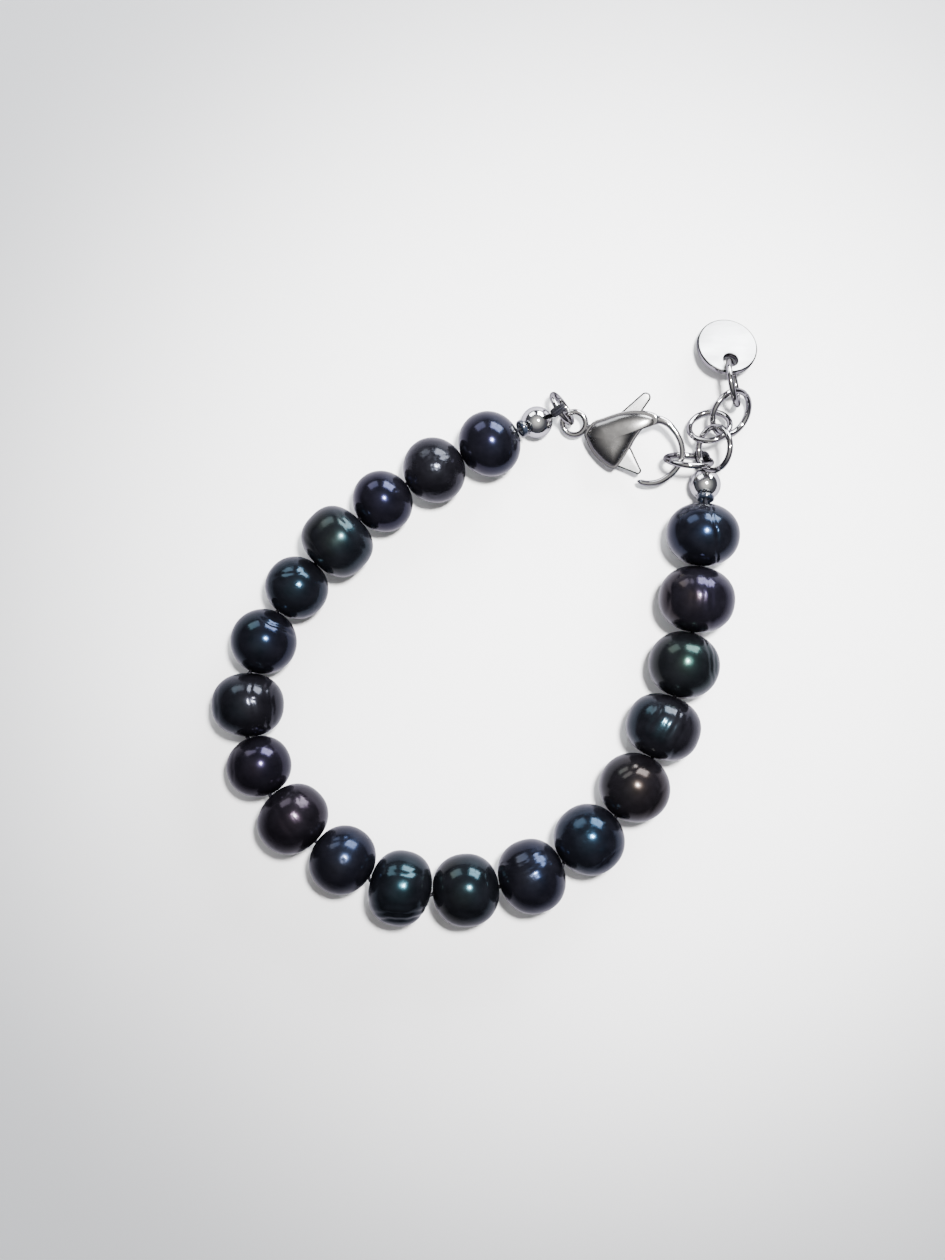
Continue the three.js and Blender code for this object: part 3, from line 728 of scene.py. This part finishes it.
CLASP_LENGTH, CLASP_WIDTH = 14.6, 8.2
BACK, SLOT, DOME = 0.6, 1.2, 1.15
EYE_RADIUS, EYE_WIRE = 1.45, 0.36
HOOK_WIDE, HOOK_HIGH = 0.74, 0.9
TRIGGER_HIGH = 0.7
PIVOT = Vector((0.315 * CLASP_LENGTH, -0.07 * CLASP_WIDTH, 0))
SLOT_LOW = -(BACK + SLOT + DOME) / 2 + BACK
SLOT_HIGH = SLOT_LOW + SLOT
HOOK_MIDDLE = (SLOT_LOW + SLOT_HIGH) / 2
PLATE_EDGE = 0.2
# Arms of the trigger: heading in degrees, width at the hub, width at the tip, reach
LEVER = 70, 2.1, 1.3, 8.0
GATE = -21, 2.9, 0.9, math.hypot(0.69 * CLASP_LENGTH - PIVOT.x, -0.33 * CLASP_WIDTH - PIVOT.y)
HUB_RADIUS, PIN_RADIUS = 1.5, 0.35
# Outline of the back and dome, and the hook's middle line with its width, as shares of the clasp's
# length and width
BODY_OUTLINE = [
    (0.115, -0.07), (0.145, -0.16), (0.225, -0.29), (0.345, -0.395), (0.445, -0.43), (0.490, -0.37),
    (0.525, -0.10), (0.540, 0.13), (0.570, 0.32), (0.625, 0.40), (0.670, 0.50), (0.640, 0.59),
    (0.560, 0.595), (0.455, 0.545), (0.340, 0.435), (0.215, 0.25), (0.145, 0.13),
]
DOME_MIDDLE = np.array([0.385 * CLASP_LENGTH, 0.10 * CLASP_WIDTH])
HOOK_LINE = [
    (0.575, 0.45, 1.7), (0.625, 0.495, 1.55), (0.675, 0.54, 1.4), (0.745, 0.535, 1.2), (0.805, 0.49, 1.1),
    (0.870, 0.415, 1), (0.925, 0.315, 1), (0.963, 0.195, 1), (0.974, 0.06, 1), (0.960, -0.08, 1),
    (0.920, -0.225, 1), (0.865, -0.345, 1), (0.790, -0.425, 1), (0.730, -0.45, 0.95), (0.690, -0.455, 0.8),
]
CREST = np.array((-0.5, -0.9))     # of the dome, from DOME_MIDDLE
NECK = [(EYE_RADIUS, 0, 0), (EYE_RADIUS + 0.5, -0.02, 0), (EYE_RADIUS + 1.3, -0.1, 0.05)]
NECK_RADII, NECK_FLAT = (0.5, 0.8), 0.62
# The small bumps beside the eye: place along the clasp, height and radius
BUMP = [(1.98, 0.22, 0.06), (2.02, 0.30, 0.16), (2.1, 0.34, 0.2), (2.2, 0.30, 0.16), (2.26, 0.2, 0.06)]
BUMP_SIDES = (-0.42, 0.30)
CLASP_TURN = Euler((rad(12), rad(-6.5), rad(-23)), "XYZ").to_matrix()
pivot_joint = next(j for j in frame["joints"] if j["name"] == "trigger_pivot")
CLASP_AT = Vector(pivot_joint["pos_m"]) - CLASP_TURN @ PIVOT * MM


def loft(levels, base, centre=DOME_MIDDLE):
    """A closed skin over the body's outline at several heights, each with its share of the size."""
    count = len(base)
    points = [(*(centre + (p - centre) * size), z) for z, size in levels for p in base]
    faces = grid_faces(len(levels), count, False)
    faces.append(tuple(range(count))[::-1])
    top = (len(levels) - 1) * count
    points.append((*centre, levels[-1][0]))
    faces += [(top + i, top + (i + 1) % count, len(points) - 1) for i in range(count)]
    return points, faces


def arm_outline(angle, root, tip, reach):
    """Outline of an arm from the pivot, tapering to a round tip."""
    c, s = math.cos(rad(angle)), math.sin(rad(angle))
    outline = [(0, -root / 2), (reach * 0.5, -root / 2)]
    for t in np.linspace(-math.pi / 2, math.pi / 2, 13):
        outline.append((reach - tip / 2 + math.cos(t) * tip / 2, math.sin(t) * tip / 2))
    outline += [(reach * 0.5, root / 2), (0, root / 2)]
    return [(PIVOT.x + c * along - s * side, PIVOT.y + s * along + c * side) for along, side in outline]


def disc(radius, sides=48):
    """Outline of a disc round the pivot."""
    turns = np.linspace(0, 2 * math.pi, sides, endpoint=False)
    return [(PIVOT.x + math.cos(t) * radius, PIVOT.y + math.sin(t) * radius) for t in turns]


def plate(outline, low, high, edge):
    """A flat plate with softened edges over an outline."""
    outline = np.array(outline)
    count = len(outline)
    before, after = np.roll(outline, 1, 0), np.roll(outline, -1, 0)
    tangent = after - before
    tangent /= np.linalg.norm(tangent, axis=1)[:, None]
    inward = np.stack([-tangent[:, 1], tangent[:, 0]], 1)
    area = np.sum(outline[:, 0] * after[:, 1] - after[:, 0] * outline[:, 1])
    inward *= np.sign(area)
    rounding = [(edge * (1 - math.sin(rad(t))), edge * (1 - math.cos(rad(t)))) for t in (90, 60, 30, 0)]
    levels = [(low + rise, inset) for rise, inset in rounding]
    levels += [(high - rise, inset) for rise, inset in rounding[::-1]]
    points = [(*(p + n * inset), z) for z, inset in levels for p, n in zip(outline, inward)]
    faces = grid_faces(len(levels), count, False)
    faces.append(tuple(range(count))[::-1])
    faces.append(tuple(range((len(levels) - 1) * count, len(levels) * count)))
    return points, faces


def paint_edge_shade(mesh, up, level=0.97, wall=0.25):
    """Paint a flat plate's softened edges near-black steel, a painted shade that draws a dark outline round
    its faces, and give its walls plain steel.
    """
    mesh.materials.append(PAINTED_EDGE_SHADE)
    mesh.materials.append(WIRE)
    for polygon in mesh.polygons:
        lean = abs(polygon.normal.dot(up))
        polygon.material_index = 0 if lean >= level else 1 if lean > wall else 2


def clasp_piece(name, parts, material, node, crease, body="bracelet"):
    """One piece of the clasp, with edges sharper than crease degrees kept hard."""
    points, faces = join(parts)
    placed = [tuple(CLASP_AT + CLASP_TURN @ Vector(p) * MM) for p in points]
    mesh = object_from(name, placed, faces, material, [node], body).data
    outward_faces(mesh, crease)
    return mesh


def dome(base, rim_high):
    """The dome's skin, steep at its foot and flat at its crest."""
    foot, steps = rim_high - 0.02, 14
    levels = [(rim_high - 0.08, 0.90)]
    for k in range(1, steps + 1):
        t = rad(90 * k / steps)
        levels.append((foot + (DOME - 0.24) * math.sin(t) ** 1.15, 0.885 * math.cos(t) ** 0.72 + 0.02))
    return loft(levels, base, DOME_MIDDLE + CREST)


def hook():
    """The hook: a rounded oblong section along its line, closed off at its tip."""
    line = catmull([(u * CLASP_LENGTH, v * CLASP_WIDTH, HOOK_MIDDLE, w) for u, v, w in HOOK_LINE], 6)
    count, sides, squareness = len(line), 20, 0.85
    around = []
    for i in range(count):
        along = line[min(i + 1, count - 1)][:2] - line[max(i - 1, 0)][:2]
        along /= np.linalg.norm(along)
        share = line[i][3]
        close = min(1.0, math.sqrt(max(0.04, (count - 1 - i) / 5)))
        for t in np.linspace(0, 2 * math.pi, sides, endpoint=False):
            out = signed_power(math.cos(t), squareness) * share * HOOK_WIDE / 2 * close
            up = signed_power(math.sin(t), squareness) * HOOK_HIGH / 2 * min(share, 1) * close
            around.append((line[i][0] - along[1] * out, line[i][1] + along[0] * out, HOOK_MIDDLE + up))
    faces = grid_faces(count, sides, False)
    faces += [tuple(range(sides))[::-1], tuple(range((count - 1) * sides, count * sides))]
    return around, faces


def clasp():
    base = catmull([(u * CLASP_LENGTH, v * CLASP_WIDTH) for u, v in BODY_OUTLINE], 8, True)
    bottom = SLOT_LOW - BACK
    rim_low, rim_high = SLOT_HIGH - 0.05, SLOT_HIGH + 0.26
    clasp_piece("clasp_dome", [dome(base, rim_high)], SATIN, "clasp_body", 60)

    back = loft([(bottom, 0.90), (bottom + 0.08, 0.955), (bottom + 0.25, 0.985), (SLOT_LOW, 0.985)], base)
    rim = loft([(rim_low, 0.955), (rim_low + 0.04, 0.985), (rim_high - 0.1, 0.99), (rim_high - 0.03, 0.975),
                (rim_high, 0.95), (rim_high, 0.93)], base)
    turns = np.linspace(0, 2 * math.pi, 72, endpoint=False)
    eye_line = [(EYE_RADIUS * math.cos(t), EYE_RADIUS * math.sin(t), 0) for t in turns]
    eye = tube(eye_line, EYE_WIRE, 20, True, up=(0, 0, 1))
    neck_line = catmull(NECK, 8)
    neck = tube(neck_line, np.linspace(*NECK_RADII, len(neck_line)), 18, False, NECK_FLAT, (0, 0, 1))
    bumps = [tube([(x, side, z) for x, z, _ in BUMP], [radius for *_, radius in BUMP], 14)
             for side in BUMP_SIDES]
    clasp_piece("clasp_frame", [back, rim, hook(), eye, neck, *bumps], FRAME, "clasp_body", 50)

    low, high = HOOK_MIDDLE - TRIGGER_HIGH / 2, HOOK_MIDDLE + TRIGGER_HIGH / 2
    arms = [plate(arm_outline(*arm), low, high, PLATE_EDGE) for arm in (LEVER, GATE)]
    hub = plate(disc(HUB_RADIUS), low + 0.01, high - 0.01, 0.1)
    trigger = clasp_piece("clasp_trigger_look", [*arms, hub], LEVER_STEEL, "clasp_trigger",
                          40, "trigger")
    # The lever's and gate's softened edges get painted shade as a dark outline
    paint_edge_shade(trigger, CLASP_TURN.col[2])
    pin = plate(disc(PIN_RADIUS, 32), bottom + 0.03, SLOT_HIGH + DOME * 0.4, 0.05)
    clasp_piece("clasp_pin_look", [pin], WIRE, "clasp_pin", 40)


clasp()


# tag

TAG_TILT, TAG_LEAN = 24, 72
TAG_EDGE, HOLE_EDGE = 0.2 * MM, 0.12 * MM
HOLE_RADIUS, HOLE_WALL, HOLE_TURN = 0.9 * MM, 0.85 * MM, 204
DISH = 0.018 * MM                   # how far its face sinks between rim and hole


def tag():
    """The bare round tag: a polished disc with softened edges and a drilled hole."""
    points = vertices("tag")
    turn = Euler((0, rad(TAG_TILT), rad(TAG_LEAN)), "XYZ").to_matrix()
    across = np.array([turn.col[k] for k in range(3)])
    low, high = (points @ across.T).min(0), (points @ across.T).max(0)
    radius, _, thick = (high - low) / 2
    out = radius - HOLE_WALL - HOLE_RADIUS
    hole = np.array([out * math.cos(rad(HOLE_TURN)), out * math.sin(rad(HOLE_TURN))])
    sides = 128
    turns = np.linspace(0, 2 * math.pi, sides, endpoint=False)
    round_ = np.stack([np.cos(turns), np.sin(turns)], 1)

    def level(flat, height):
        return np.column_stack([flat, np.full(sides, height)])

    # Out over the edge, across the face to the hole and down it, then back across the underside
    upper = []
    for t in (0, 18, 36, 54, 72, 90):
        inset, up = 1 - math.cos(rad(t)), math.sin(rad(t))
        upper.append(level(round_ * (radius - TAG_EDGE * inset), thick - TAG_EDGE + TAG_EDGE * up))
    rim, mouth = round_ * (radius - TAG_EDGE), hole + round_ * HOLE_RADIUS * 1.22
    for share in np.linspace(0.04, 0.92, 22):
        upper.append(level(rim + (mouth - rim) * share, thick - DISH * math.sin(math.pi * share)))
    for t in (90, 60, 30, 0):
        wide = HOLE_RADIUS + HOLE_EDGE * (1 - math.cos(rad(t)))
        upper.append(level(hole + round_ * wide, thick - HOLE_EDGE + HOLE_EDGE * math.sin(rad(t))))
    lower = [r * np.array([1, 1, -1]) for r in upper[::-1]]
    placed = ((low + high) / 2 + np.concatenate(upper + lower)) @ across
    faces = grid_faces(len(upper) + len(lower), sides)
    obj = object_from("tag_look", placed, faces, FACE, ["tag"])
    outward_faces(obj.data)
    # The tag's softened edges get painted shade as a dark outline
    paint_edge_shade(obj.data, turn.col[2], 0.992)


tag()


# floor, light, camera

# Painted shade: the paper's dimmer colour where beads and rings reflect it
PAPER_SHADE_IN_REFLECTIONS = (0.21, 0.20, 0.245)
FLOOR_HALF, FLOOR_DROP = 3.0, -0.06 * MM


def floor():
    n = Nodes("paper")
    broad = n.noise(9, 3, 0.5)
    fine = n.noise(420, 4, 0.6)
    colour = n.mix(n.remap(broad, 0.3, 0.7), (0.80, 0.80, 0.805), (0.77, 0.765, 0.775))
    # Seen in the beads and rings, the paper is painted dimmer: painted shade, as if the room's dark side
    # stood over it
    ray = n.tree.nodes.new("ShaderNodeLightPath")
    colour = n.mix(ray.outputs["Is Camera Ray"], PAPER_SHADE_IN_REFLECTIONS, colour)
    n.set(Base_Color=colour, Roughness=n.remap(fine, 0.3, 0.7, 0.6, 0.75),
          Normal=n.bump(fine, 0.08, 0.1 * MM))
    mesh = bpy.data.meshes.new("floor")
    s = FLOOR_HALF
    mesh.from_pydata([(-s, -s, 0), (s, -s, 0), (s, s, 0), (-s, s, 0)], [], [(0, 1, 2, 3)])
    obj = bpy.data.objects.new("floor", mesh)
    bpy.context.scene.collection.objects.link(obj)
    obj.location.z = FLOOR_DROP
    mesh.materials.append(n.material)


floor()

offset = ring_place("chain_ring_1")[0][:2] / MM - RING_IN_VIEW
view = Vector((float(offset[0]) * MM, float(offset[1]) * MM, 0))
WINDOW_DISTANCE, DAYLIGHT = 0.55, (0.93, 0.96, 1.0)


def light(name, kind, azimuth, elevation, distance, power, colour, target=(0, 0, 0)):
    """A light at a direction and distance from the middle of the view, turned to a target there."""
    data = bpy.data.lights.new(name, kind)
    data.energy = power
    data.color = colour
    obj = bpy.data.objects.new(name, data)
    a, e = rad(azimuth), rad(elevation)
    place = Vector((math.cos(a) * math.cos(e), math.sin(a) * math.cos(e), math.sin(e))) * distance
    obj.location = view + place
    obj.rotation_euler = (place - Vector(target)).to_track_quat("Z", "Y").to_euler()
    bpy.context.scene.collection.objects.link(obj)
    return data


def lamp():
    """A hanging lamp whose pool of light fades softly around its target on the floor."""
    data = light("lamp", "SPOT", azimuth=50, elevation=75, distance=0.40, power=38.0,
                 colour=(1, 0.99, 0.975), target=(0.020, 0.009, 0))
    data.shadow_soft_size = 0.027
    data.spot_size = rad(26)
    data.spot_blend = 1.0


def window(name, azimuth, elevation, wide, high, power):
    data = light(name, "AREA", azimuth, elevation, WINDOW_DISTANCE, power, DAYLIGHT)
    data.shape = "RECTANGLE"
    data.size, data.size_y = wide, high


lamp()
# The right-hand window has four panes with dark bars between them
for k, (turn, lift) in enumerate(((-9, -6.5), (9, -6.5), (-9, 7), (9, 7))):
    window(f"window_right_{k}", 64 + turn, 22 + lift, wide=0.155, high=0.12, power=2.4)
window("window_left", 119, 21, wide=0.30, high=0.24, power=1.7)


# The room's tones by height, from the horizon at 0 to overhead at 1
SKY = [(0.0, (0.05, 0.05, 0.06)), (0.5, (0.10, 0.10, 0.12)), (0.78, (0.34, 0.34, 0.36)),
       (0.95, (0.85, 0.84, 0.82))]
BACKDROP = (0.19, 0.19, 0.20)


def room():
    """The room's dim walls and bright ceiling, and a plain grey behind the floor for the camera."""
    world = bpy.data.worlds.new("room")
    bpy.context.scene.world = world
    world.use_nodes = True
    tree = world.node_tree
    back = tree.nodes["Background"]
    place = tree.nodes.new("ShaderNodeTexCoord")
    parts = tree.nodes.new("ShaderNodeSeparateXYZ")
    tree.links.new(place.outputs["Generated"], parts.inputs[0])
    sky = tree.nodes.new("ShaderNodeValToRGB")
    tree.links.new(parts.outputs["Z"], sky.inputs[0])
    for _ in SKY[2:]:
        sky.color_ramp.elements.new(0.5)
    for point, (at, tone) in zip(sky.color_ramp.elements, SKY):
        point.position = at
        point.color = (*tone, 1)
    seen = tree.nodes.new("ShaderNodeLightPath")
    pick = tree.nodes.new("ShaderNodeMix")
    pick.data_type = "RGBA"
    tree.links.new(seen.outputs["Is Camera Ray"], pick.inputs["Factor"])
    tree.links.new(sky.outputs["Color"], pick.inputs["A"])
    pick.inputs["B"].default_value = (*BACKDROP, 1)
    tree.links.new(pick.outputs["Result"], back.inputs["Color"])


room()

# The camera looks straight down; its focal length is in pixels of the photograph, 1260 pixels high
FOCAL, PHOTO_HIGH, SENSOR = 1888, 1260, 36
CAMERA_HEIGHT = 0.24
camera = bpy.data.cameras.new("camera")
camera.sensor_width = SENSOR
camera.lens = SENSOR * FOCAL / PHOTO_HIGH
camera.clip_start = 0.01
camera_obj = bpy.data.objects.new("camera", camera)
camera_obj.location = view + Vector((0, 0, CAMERA_HEIGHT))
bpy.context.scene.collection.objects.link(camera_obj)
bpy.context.scene.camera = camera_obj
